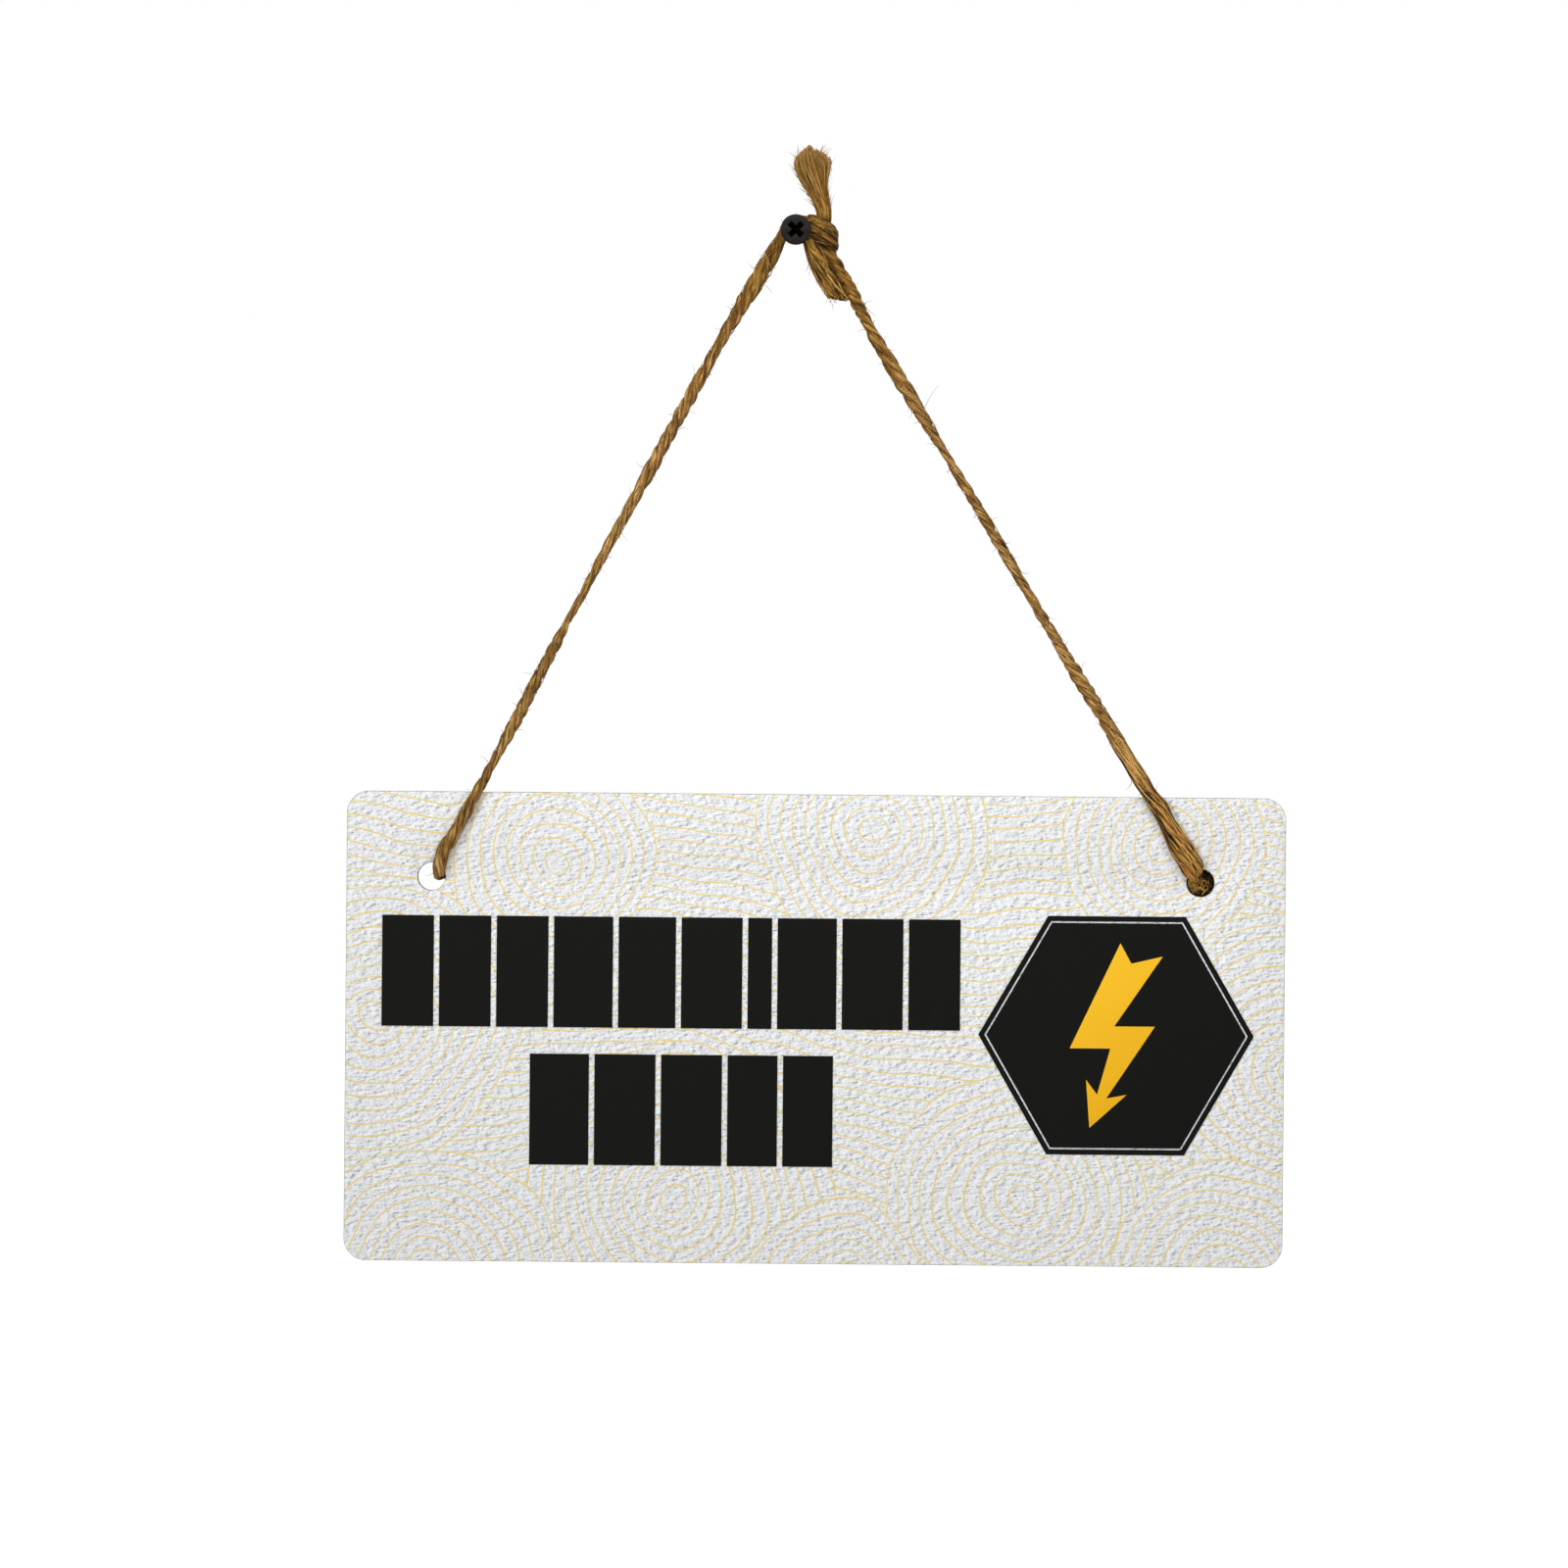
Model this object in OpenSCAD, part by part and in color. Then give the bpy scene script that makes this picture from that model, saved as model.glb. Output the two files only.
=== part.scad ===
// Hanging sign board on a loop of twine over one screw.
// Millimetres. X runs right along the wall, Z up, and the sign faces -Y.
// The origin is where the screw's axis meets the wall.

/* [Board] */
// Width of the board
board_w = 254; // [240:1:360]
// Height of the board
board_h = 127; // [115:1:200]
// Thickness of the board
board_t = 4; // [3:0.5:8]
// Radius of the board's corners
corner_r = 6; // [1:0.5:16]
// Diameter of the two cord holes
hole_d = 7.5; // [7:0.1:12]
// From a side edge to the centre of its hole
hole_inset = 23; // [14:0.5:30]
// From the top edge to the centres of the holes
hole_drop = 23; // [14:0.5:26]

/* [Hanging] */
// From the screw's axis down to the board's top edge
hang_h = 152.5; // [140:0.5:180]
// How far right of the screw the board's centre hangs
hang_shift = 7; // [0:0.5:12]
// From the wall to the board's back, which leaves room for the twine
wall_gap = 3.4; // [3:0.1:8]

/* [Print] */
// Thickness of the printed ink
ink_t = 0.2; // [0.1:0.05:0.5]
// Height of the printed blocks
block_h = 30; // [12:0.5:32]
// Gap between two blocks of a row
block_gap = 1.5; // [0.5:0.1:3]
// Gap between the two rows
row_gap = 7.2; // [2:0.2:14]
// From the board's top edge down to the upper row
title_drop = 33.5; // [30:0.5:38]
// From the board's left edge to the upper row
title_inset = 9.75; // [6:0.25:16]
// Gap between the upper row and the hexagon's corner
title_gap = 5; // [2:0.5:12]
// How far right of the upper row's centre the lower row is centred
lower_shift = 3; // [-20:0.5:20]
// Hexagon from corner to corner
hexagon_w = 74.5; // [56:0.5:80]
// From the board's right edge to the hexagon's centre
hexagon_inset = 45.5; // [41:0.5:47]
// Centre of the hexagon, below the board's centre
hexagon_drop = 1; // [-4:0.5:6]
// Black border outside the thin line
border_w = 1.4; // [0.8:0.1:4]
// Width of the thin unprinted line
line_w = 0.45; // [0.3:0.05:1.5]
// Height of the flash
flash_h = 50; // [30:0.5:54]

/* [Twine] */
// Diameter of the twine
twine_d = 2.8; // [2:0.1:3.2]
// From the wall to the middle of the knot
knot_y = 5; // [4.6:0.1:6]
// From the screw's axis to the middle of the knot
knot_x = 7; // [7:0.1:9]
// Turns that the knot takes round the standing strand
knot_turns = 2; // [1:1:3]
// Radius of the knot's turns, to the middle of the twine
turn_r = 2.5; // [2.4:0.1:3]
// Half thickness of one turn
bulge_r = 1.7; // [1.4:0.05:1.8]
// Rise from turn to turn
turn_pitch = 3.6; // [3:0.1:4]

/* [Screw] */
// Diameter of the head
head_d = 8.3; // [7:0.1:11]
// From the head's face to its neck
head_h = 5; // [4:0.1:6]
// Straight rim of the head
head_rim = 0.6; // [0.3:0.1:1.2]
// Diameter of the smooth neck
neck_d = 3; // [2.4:0.1:3.2]
// Outer diameter of the thread
thread_d = 3.5; // [3.3:0.1:5]
// From the head's face to the wall
head_reach = 13; // [12:0.5:18]
// Whole length of the screw
screw_l = 32; // [30:1:60]
// Length of the point
point_l = 7; // [4:0.5:9]
// Cross recess from tip to tip
recess_span = 5; // [3.5:0.1:5.4]
// Width of the recess's wings
recess_w = 1.1; // [0.7:0.05:1.6]
// Depth of the recess
recess_h = 2.6; // [1.5:0.1:3]

/* [Hidden] */

// Fineness of true circles
ROUND = 64;
// Sides of the twine's tube
CORD_SIDES = 8;
// Longest distance between two rings of the tube
RING_PITCH = 11;

// Places on the board
board_top = -hang_h;
board_mid = board_top - board_h / 2;
board_front = wall_gap + board_t;
hole_z = board_top - hole_drop;
board_left = hang_shift - board_w / 2;
hexagon_x = board_left + board_w - hexagon_inset;
hexagon_z = board_mid - hexagon_drop;

// Room for the upper row
title_left = board_left + title_inset;
title_w = hexagon_x - hexagon_w / 2 - title_gap - title_left;
title_mid = title_left + title_w / 2;

// Widths of the printed blocks, left to right, at which the upper row just fills a 254 mm board
UPPER = [14, 14, 14, 16, 15.5, 16.5, 6.5, 16, 16.5, 14];
LOWER = [16, 16.5, 16.5, 13.5, 13.5];

// Shape of the flash about the hexagon's centre, scaled to its height
FLASH = [
    [1, 25], [4, 19.5], [12.5, 21.5], [-0.5, 2.5], [10.5, 2.5], [-2.5, -17],
    [3, -16], [-7, -25], [-8, -12], [-5, -16], [-1.5, -3.5], [-12.5, -3.5]
];

// Flat seats of the knot: the side towards the screw and the underside
KNOT_LEFT = 3.4;
KNOT_BOTTOM = -3.8;

// Route of the twine: from the knot over the screw, down to the left hole, behind the board
// to the right hole, and up to the knot again
ROUTE = [
    [3.4, -5.2, 1.7], [2.7, -5.2, 1.7], [1.8, -5.1, 2.6], [0, -5, 3.1], [-2.2, -5, 2.2],
    [-3.3, -5, -0.4], [-5, -5.1, -3.8], [-17.5, -5.6, -25.5], [-40.5, -6.7, -68],
    [-63, -7.9, -110.5], [-80, -8.7, -143.5], [-91, -9, -163.8], [-94, -9, -169.2],
    [-94.9, -9, -172.3], [-95, -8.5, -174], [-95.1, -7.4, -174.7], [-95.1, -4.4, -174.7],
    [-94.7, -2.5, -174.7], [-93.4, -1.8, -174.7], [-88, -1.8, -174.6], [-40, -1.8, -174.5],
    [7, -1.8, -174.5], [60, -1.8, -174.5], [102, -1.8, -174.2], [107.5, -1.8, -174],
    [109.1, -2.4, -174], [109.6, -4.4, -174], [109.6, -7.4, -174], [109.3, -8.5, -173.5],
    [108.6, -9, -172.3], [107.3, -9, -169.6], [103.5, -9, -162.5], [92.5, -8.8, -144.5],
    [71, -7.8, -109.5], [45.5, -6.7, -67.2], [20, -5.6, -25.5], [11.5, -5.1, -9.9],
    [8.4, -5, -5.2], [8.4, -5, -3.8]
];

// Frayed end of the twine above the knot: place, half width and half thickness
FRAYED_END = [
    [[7.3, -5, 2.5], [1.9, 1.6]], [[7.3, -5, 6], [1.9, 1.7]], [[6.4, -5, 10.5], [2.8, 1.9]],
    [[5.2, -5.2, 15], [3.9, 2.2]], [[4.4, -5.4, 19.5], [4.7, 2.4]], [[4.2, -5.6, 23], [5.1, 2.2]]
];

// Cut end of the twine below the knot: place, half width and half thickness
CUT_END = [
    [[5.6, -7, -2.5], [1.8, 1.6]], [[6.3, -7.6, -7], [2, 1.9]], [[8.4, -7.7, -11], [2.2, 2]],
    [[10.5, -7.6, -15], [2.1, 2]], [[12, -7.5, -18.3], [1.9, 1.8]]
];

function unit(v) = v / norm(v);

// Direction of a line at its point i, leaning to the nearer neighbour
function heading(p, i) =
    i == 0 ? unit(p[1] - p[0]) :
    i == len(p) - 1 ? unit(p[i] - p[i - 1]) :
    let (before = p[i] - p[i - 1], after = p[i + 1] - p[i])
    unit(unit(before) * norm(after) + unit(after) * norm(before));

// Point at share t of a curve from a to b that leaves along u and arrives along v
function curve(a, b, u, v, t) =
    (2 * t^3 - 3 * t^2 + 1) * a + (3 * t^2 - 2 * t^3) * b
    + (t^3 - 2 * t^2 + t) * u + (t^3 - t^2) * v;

// The route with rings no further apart than the pitch
function smooth_line(p, pitch) = [
    for (i = [0 : len(p) - 2])
        let (span = norm(p[i + 1] - p[i]), steps = ceil(span / pitch))
        for (k = [0 : steps - 1])
            curve(p[i], p[i + 1], span * heading(p, i), span * heading(p, i + 1), k / steps),
    p[len(p) - 1]
];

// A side direction carried along a line without twist
function side_of(n, t) = unit(n - (n * t) * t);
function sides_along(p, first) = [
    for (i = 0, n = side_of(first, heading(p, 0));
         i < len(p);
         i = i + 1, n = i < len(p) ? side_of(n, heading(p, i)) : n)
        n
];

// Closed tube through the points p, with a half width and half thickness at each
module tube(p, half, first, sides) {
    along = sides_along(p, first);
    rings = [
        for (i = [0 : len(p) - 1])
            let (n = along[i], b = cross(heading(p, i), n))
            for (k = [0 : sides - 1])
                p[i] + half[i][0] * cos(360 * k / sides) * n + half[i][1] * sin(360 * k / sides) * b
    ];
    last = len(p) - 1;
    polyhedron(rings, concat(
        [[for (k = [0 : sides - 1]) k]],
        [[for (k = [sides - 1 : -1 : 0]) last * sides + k]],
        [
            for (i = [0 : last - 1])
                for (k = [0 : sides - 1])
                    let (a = i * sides + k, b = i * sides + (k + 1) % sides)
                    [a, a + sides, b + sides, b]
        ]
    ));
}

// Stands a flat shape on the wall plane, its near side out at y and its far side t further
module upright(y, t) {
    translate([0, -y, 0]) rotate([90, 0, 0]) linear_extrude(t) children();
}

module rounded_rectangle(w, h, r) {
    square([w - 2 * r, h], center = true);
    square([w, h - 2 * r], center = true);
    for (x = [-1, 1])
        for (z = [-1, 1])
            translate([x * (w / 2 - r), z * (h / 2 - r)]) circle(r, $fn = ROUND);
}

module sign_board() {
    color("#e6e4de")
    upright(wall_gap, board_t)
    difference() {
        translate([hang_shift, board_mid]) rounded_rectangle(board_w, board_h, corner_r);
        for (side = [-1, 1])
            translate([hang_shift + side * (board_w / 2 - hole_inset), hole_z])
                circle(d = hole_d, $fn = ROUND);
    }
}

// Regular hexagon with corners left and right, w from corner to corner
module hexagon(w) {
    circle(d = w, $fn = 6);
}

module flash_outline() {
    levels = [for (p = FLASH) p[1]];
    scale(flash_h / (max(levels) - min(levels))) polygon(FLASH);
}

// Moves a print to the middle of the hexagon
module at_hexagon() {
    translate([hexagon_x, hexagon_z]) children();
}

module hexagon_print() {
    // Corner to corner grows by this much for each millimetre of border
    corner_share = 4 / sqrt(3);
    color("#1b1b19")
    upright(board_front, ink_t)
    at_hexagon() {
        difference() {
            hexagon(hexagon_w);
            hexagon(hexagon_w - corner_share * border_w);
        }
        difference() {
            hexagon(hexagon_w - corner_share * (border_w + line_w));
            flash_outline();
        }
    }
}

module flash_print() {
    color("#fbbb2b")
    upright(board_front, ink_t)
    at_hexagon() flash_outline();
}

function sum(v, n) = n == 0 ? 0 : v[n - 1] + sum(v, n - 1);

// Both rows share the scale at which the upper row fills its room
title_scale = (title_w - (len(UPPER) - 1) * block_gap) / sum(UPPER, len(UPPER));

// A row of blocks with its middle at the origin
module block_row(shape) {
    widths = title_scale * shape;
    row_w = sum(widths, len(widths)) + (len(widths) - 1) * block_gap;
    for (i = [0 : len(widths) - 1])
        translate([sum(widths, i) + i * block_gap - row_w / 2, -block_h / 2])
            square([widths[i], block_h]);
}

module upper_blocks() {
    color("#1b1b19")
    upright(board_front, ink_t)
    translate([title_mid, board_top - title_drop - block_h / 2])
        block_row(UPPER);
}

module lower_blocks() {
    color("#1b1b19")
    upright(board_front, ink_t)
    translate([title_mid + lower_shift, board_top - title_drop - row_gap - block_h * 3 / 2])
        block_row(LOWER);
}

module hanging_twine() {
    line = smooth_line(ROUTE, RING_PITCH);
    color("#8f6f42")
    tube(line, [for (p = line) [twine_d / 2, twine_d / 2]], [0, 1, 0], CORD_SIDES);
}

// The turns round the standing strand, flat where the run of twine meets them
module knot_turns_solid() {
    reach = turn_r + bulge_r;
    turns_h = bulge_r * 2 + (knot_turns - 1) * turn_pitch;
    intersection() {
        translate([knot_x, -knot_y, KNOT_BOTTOM])
        rotate_extrude($fn = ROUND) {
            square([turn_r, turns_h]);
            for (i = [0 : knot_turns - 1])
                translate([turn_r, bulge_r + i * turn_pitch]) circle(bulge_r, $fn = 32);
        }
        translate([KNOT_LEFT, -knot_y - 2 * reach, KNOT_BOTTOM])
            cube([knot_x + 2 * reach - KNOT_LEFT, 4 * reach, 2 * turns_h]);
    }
}

// One end of the twine, from a list of places and half sizes
module loose_end(sections) {
    tube([for (s = sections) s[0]], [for (s = sections) s[1]], [1, 0, 0], 12);
}

module twine_knot() {
    color("#9a7848") {
        knot_turns_solid();
        loose_end(FRAYED_END);
        loose_end(CUT_END);
    }
}

// Half section of the screw, its length along the second axis
module screw_profile() {
    head_r = head_d / 2;
    neck_r = neck_d / 2;
    flank_h = head_h - head_rim;
    // Radius of the hollow flank, which runs into the neck without a corner
    flank_r = ((head_r - neck_r)^2 + flank_h^2) / (2 * (head_r - neck_r));
    difference() {
        square([head_r, head_h]);
        translate([neck_r + flank_r, head_h]) circle(flank_r, $fn = ROUND);
    }
    square([neck_r, head_reach]);
    polygon([
        [0, head_reach], [thread_d / 2, head_reach], [thread_d / 2, screw_l - point_l], [0, screw_l]
    ]);
}

module cross_recess() {
    intersection() {
        for (turn = [45, 135])
            rotate(turn)
                translate([-recess_span, -recess_w / 2, -1]) cube([2 * recess_span, recess_w, recess_h + 1]);
        cylinder(h = recess_h, d1 = recess_span, d2 = recess_w, $fn = ROUND);
    }
}

module wall_screw() {
    color("#2b2b2d")
    translate([0, -head_reach, 0])
    rotate([-90, 0, 0])
    difference() {
        rotate_extrude($fn = ROUND) screw_profile();
        cross_recess();
    }
}

sign_board();
hexagon_print();
flash_print();
upper_blocks();
lower_blocks();
hanging_twine();
twine_knot();
wall_screw();
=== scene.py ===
# %% [markdown]
# # A printed sign board that hangs on jute twine
#
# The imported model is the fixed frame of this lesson: it says where everything is, in metres, with
# X to the right, Z up and the sign facing -Y. The origin is on the screw's axis, near its thread.
# Blender adds what a plain solid can't show: plies and fibres of the twine, the thread of the
# screw, the eased edges of the board, and the finish of every surface.

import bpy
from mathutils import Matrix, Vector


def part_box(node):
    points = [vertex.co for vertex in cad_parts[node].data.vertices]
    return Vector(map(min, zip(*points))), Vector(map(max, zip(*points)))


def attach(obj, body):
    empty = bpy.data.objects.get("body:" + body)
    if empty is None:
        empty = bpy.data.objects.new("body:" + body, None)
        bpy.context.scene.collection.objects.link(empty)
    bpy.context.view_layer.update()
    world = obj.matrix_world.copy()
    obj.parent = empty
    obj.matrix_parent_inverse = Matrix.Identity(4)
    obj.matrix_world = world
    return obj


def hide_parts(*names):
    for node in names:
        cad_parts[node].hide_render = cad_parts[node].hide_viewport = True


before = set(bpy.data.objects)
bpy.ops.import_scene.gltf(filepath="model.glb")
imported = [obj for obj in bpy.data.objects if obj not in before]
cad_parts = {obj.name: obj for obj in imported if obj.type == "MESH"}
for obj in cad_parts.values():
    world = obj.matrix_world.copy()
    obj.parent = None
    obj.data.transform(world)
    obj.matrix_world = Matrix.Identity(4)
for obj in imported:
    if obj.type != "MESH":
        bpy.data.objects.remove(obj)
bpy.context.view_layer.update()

import math
from functools import partial

import bpy
import numpy as np
from mathutils import Matrix, Vector

MM = 0.001
ROUND = 2 * math.pi

# %% [markdown]
# ## Camera
#
# The picture was taken square to the board with a longish lens, so a lens of 200 mm more than
# two metres away keeps the board's sides parallel and the screw's head where the picture shows
# it. The picture is turned by half a degree, and so is the camera.

# %% Camera
LENS = 200
SENSOR = 36
CAMERA_AT = Vector((-1.9, -2364.1, -149.7)) * MM
ROLL = math.radians(0.5)

lens_data = bpy.data.cameras.new("camera")
lens_data.lens = LENS
lens_data.sensor_width = SENSOR
camera = bpy.data.objects.new("camera", lens_data)
bpy.context.scene.collection.objects.link(camera)
camera.location = CAMERA_AT
camera.rotation_euler = (Matrix.Rotation(math.pi / 2, 3, "X") @ Matrix.Rotation(ROLL, 3, "Z")).to_euler()
bpy.context.scene.camera = camera

# %% [markdown]
# ## The line of the twine
#
# One piece of twine makes the whole hanging. Its cut end lies in front of the right strand. It winds
# round that strand, runs over the screw, down to the left hole, behind the board to the right
# hole, and up through its own turns to a frayed end. The route follows the one in the CAD
# source, and the winding is a leaning helix round the standing strand, widest half way up.

# %% Route of the twine, in millimetres
TWINE_D = 2.8
KNOT_AXIS = np.array([7.0, -5.0])
KNOT_R = 2.65
KNOT_TOP, KNOT_FOOT = 1.2, -2.4
CUT_RUN = [[11.6, -7.5, -17.4], [10.4, -7.6, -15], [8.3, -7.7, -11], [6.3, -7.6, -7.6], [4.7, -6.7, -5]]
TO_SCREW = [[4.7, -6.9, 2.2], [2.6, -5.7, 2.8]]
ROUTE = [
    [0, -5, 2.85], [-2.2, -5, 2.1],
    [-3.3, -5, -0.4], [-5, -5.1, -3.8], [-17.5, -5.6, -25.5], [-40.5, -6.7, -68],
    [-63, -7.9, -110.5], [-80, -8.7, -143.5], [-91, -9, -163.8], [-94, -9, -169.2],
    [-94.9, -9, -172.3], [-95, -8.5, -174], [-95.1, -7.4, -174.7], [-95.1, -4.4, -174.7],
    [-94.7, -2.5, -174.7], [-93.4, -1.8, -174.7], [-88, -1.8, -174.6], [-40, -1.8, -174.5],
    [7, -1.8, -174.5], [60, -1.8, -174.5], [102, -1.8, -174.2], [107.5, -1.8, -174],
    [109.1, -2.4, -174], [109.6, -4.4, -174], [109.6, -7.4, -174], [109.3, -8.5, -173.5],
    [108.6, -9, -172.3], [107.3, -9, -169.6], [103.5, -9, -162.5], [92.5, -8.8, -144.5],
    [71, -7.8, -109.5], [45.5, -6.7, -67.2], [20, -5.6, -25.5], [11.5, -5.1, -9.9],
]
INTO_FRAY = [[8.5, -5, -5.2], [7.3, -5, -2.2], [7.1, -5, 0.8], [7.2, -5, 3.8], [7.2, -5, 7.5]]

# 1.75 turns, from the screw's side at the foot to the front at the top
turn = np.radians(np.arange(180, -451, -45))
climb = np.linspace(KNOT_FOOT, KNOT_TOP, len(turn))
LEAN = np.array([-0.42, -0.2])
# The turns are widest half way up, like a barrel
barrel = KNOT_R * (1 - 0.2 * np.linspace(-1, 1, len(turn)) ** 2)


def leaning(across, deep):
    """How much higher a turn lies at a place round the knot's axis: lower at the right and the back."""
    return LEAN[0] * across + LEAN[1] * deep


WINDING = [
    [KNOT_AXIS[0] + across, KNOT_AXIS[1] + deep, z + leaning(across, deep)]
    for across, deep, z in zip(barrel * np.cos(turn), barrel * np.sin(turn), climb)
]


def unit(v):
    """The same direction with length 1."""
    return v / np.linalg.norm(v)


def length_along(line):
    """Length from the start of a line to each of its points."""
    return np.concatenate([[0], np.cumsum(np.linalg.norm(np.diff(line, axis=0), axis=1))])


def read_off(places, run, values):
    """Values kept along a run, read off at some places."""
    return np.stack([np.interp(places, run, column) for column in values.T], 1)


def heading(p, i):
    """Direction of a line at its point i, leaning to the nearer neighbour, as in the CAD source."""
    if i == 0:
        return unit(p[1] - p[0])
    if i == len(p) - 1:
        return unit(p[i] - p[i - 1])
    before, after = p[i] - p[i - 1], p[i + 1] - p[i]
    return unit(unit(before) * np.linalg.norm(after) + unit(after) * np.linalg.norm(before))


def smooth_line(points, pitch):
    """A smooth line through the points, with places about a pitch apart."""
    p = np.array(points, float)
    fine = []
    for i in range(len(p) - 1):
        span = np.linalg.norm(p[i + 1] - p[i])
        u, v = span * heading(p, i), span * heading(p, i + 1)
        for t in np.arange(0, 1, 0.1 / span):
            fine.append(
                (2 * t**3 - 3 * t**2 + 1) * p[i] + (3 * t**2 - 2 * t**3) * p[i + 1]
                + (t**3 - 2 * t**2 + t) * u + (t**3 - t**2) * v
            )
    fine = np.array(fine + [p[-1]])
    run = length_along(fine)
    places = np.linspace(0, run[-1], max(2, int(run[-1] / pitch) + 1))
    return read_off(places, run, fine), places


def frames_along(line, first=(0, 1, 0)):
    """The heading and two sides at every place of a line, carried along it without twist."""
    ahead = np.gradient(line, axis=0)
    ahead /= np.linalg.norm(ahead, axis=1)[:, None]
    side = np.zeros_like(line)
    n = np.array(first, float)
    for i, t in enumerate(ahead):
        n = unit(n - (n @ t) * t)
        side[i] = n
    return ahead, side, np.cross(ahead, side)


RING_PITCH = 0.45
LINE, ALONG = smooth_line(CUT_RUN + WINDING + TO_SCREW + ROUTE + INTO_FRAY, RING_PITCH)
AHEAD, SIDE, UP = frames_along(LINE)
print(f"twine: {len(LINE)} rings, {ALONG[-1]:.1f} mm long")

# %% [markdown]
# ## How thick the twine is
#
# Jute is spun from uneven fibres, so the twine swells and shrinks along its length, from 1.9 to
# 5.6 mm. It is loosest in the last 35 mm above the right hole, where the twist has opened and it
# lies flat on the face. All chance comes from one seeded generator, so each run is the same.

# %% Thickness and looseness along the twine
rng = np.random.default_rng(7)


def place_of(point):
    """Length along the twine at the place nearest to a point."""
    return ALONG[np.argmin(np.linalg.norm(LINE - np.array(point), axis=1))]


def wavy(reach, count=len(LINE), step=RING_PITCH):
    """Smooth chance values about 0, of spread 1, that change over a reach in mm along the twine."""
    size = max(3, int(reach / step))
    window = np.hanning(size + 2)[1:-1]
    values = np.convolve(rng.normal(size=count + size), window, "same")[:count]
    return (values - values.mean()) / values.std()


def rise(x, start, end):
    """0 before start, 1 after end, and smooth in between."""
    t = np.clip((x - start) / (end - start), 0, 1)
    return t * t * (3 - 2 * t)


# Each pair is a depth below the screw in mm and the thickness there, as a share of the usual one
LEFT_THICK = [
    (0, 0.85), (1.5, 0.95), (4.5, 1.3), (9, 1.6), (18, 1.52), (22, 1.22), (27, 0.97), (35, 1.05),
    (44, 1.28), (53, 1.1), (62, 1.2), (70, 1.1), (80, 0.92), (90, 0.82), (105, 0.68), (112, 0.98),
    (133, 1.2), (145, 0.78), (152, 1.0), (159, 1.1), (166, 1.28), (172, 1.28),
]
RIGHT_THICK = [
    (5, 1.25), (17, 1.25), (26, 0.97), (34, 1.35), (43, 1.33), (52, 1.1), (60, 0.72), (69, 0.93),
    (86, 0.96), (103, 0.86), (112, 1.03), (124, 1.38), (134, 1.2), (143, 1.14), (147, 1.24),
    (151, 1.16), (155, 1.32), (160, 1.32), (164, 1.72), (171, 2.02), (172.3, 1.95), (173.4, 1.3),
]
# The loose strand sways a little: a depth below the screw and a shift to the right, in mm
SWAY = [(151, 0), (155.5, 0.55), (160, 0), (164, -0.1), (171, 0.6), (174, 0.5)]
KNOT_THICK, HIDDEN_THICK, DEEPEST = 1.18, 1.1, 1.22
LEFT_HOLE, RIGHT_HOLE = place_of((-95, -8.5, -174)), place_of((109.2, -8.6, -173.4))
down = -LINE[:, 2]
on_left = (ALONG > place_of((4.2, -6.7, 2.4))) & (ALONG < LEFT_HOLE)
on_right = (ALONG > RIGHT_HOLE) & (ALONG < place_of((8.5, -5, -5.2)))
hidden = (ALONG >= LEFT_HOLE) & (ALONG <= RIGHT_HOLE)
LINE[on_right, 0] += np.interp(down[on_right], *zip(*SWAY))
THICK = np.full(len(LINE), KNOT_THICK)
THICK[hidden] = HIDDEN_THICK
THICK[on_left] = np.interp(down[on_left], *zip(*LEFT_THICK))
THICK[on_right] = np.interp(down[on_right], *zip(*RIGHT_THICK))
soft_step = np.hanning(7)[1:-1]
THICK = np.convolve(np.pad(THICK, 2, "edge"), soft_step / soft_step.sum(), "valid")
THICK = THICK * (1 + 0.03 * wavy(6))
# Thick places are wide and not deep: the strand lies on the board, and hangs slack at the knot
FLAT = np.where(on_left | on_right, np.minimum(1, DEEPEST / THICK), 1.0)
# How far the twist has opened: wholly above the right hole, and by 0.4 on the left at the screw
loose = np.where(on_right, rise(down, 138, 156), 0)
loose = loose + np.where(on_left, 0.4 * (1 - rise(down, 10, 26)), 0)
print(f"twine: {TWINE_D * THICK.min():.2f} to {TWINE_D * THICK.max():.2f} mm thick")

# %% [markdown]
# ## Plies
#
# The twine is three plies laid round each other to the left, 13.5 mm for a full turn. Each ply
# is a bundle of fibres, so its section isn't round: it has ridges that wander along it. The plies
# are hardly spun themselves, so their fibres lean as the plies do. A tube with a bump map would
# keep a straight outline, so plies and ridges are real geometry. The mesh is made in code because
# its rings follow the line of the cord.

# %% Build the plied twine
PLIES = 3
PLY_SIDES = 14
LAY = 13.5
PLY_REACH = 1.44
PLY_OFFSET = 0.70
FIBRE_TURN = 0.2
BOARD_BACK, BOARD_FACE, BOARD_TOP = -3.4, -7.4, -152.5
HOLES = np.array([[-97, -175.5], [111, -175.5]])
HOLE_R = 3.75
CLEAR = 0.05


def press(points):
    """Presses the twine flat on the board's face and against its back, and keeps it before y = 0."""
    p = points.copy()
    from_hole = np.linalg.norm(p[:, None, [0, 2]] - HOLES[None], axis=2).min(axis=1)
    over = (p[:, 2] < BOARD_TOP) & (from_hole >= HOLE_R - CLEAR)
    middle = (BOARD_FACE + BOARD_BACK) / 2
    front = over & (p[:, 1] < middle) & (p[:, 1] > BOARD_FACE - CLEAR)
    back = over & (p[:, 1] > middle) & (p[:, 1] < BOARD_BACK + CLEAR)
    p[front, 1] = BOARD_FACE - CLEAR
    p[back, 1] = BOARD_BACK + CLEAR
    p[:, 1] = np.minimum(p[:, 1], -CLEAR)
    return p


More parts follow.
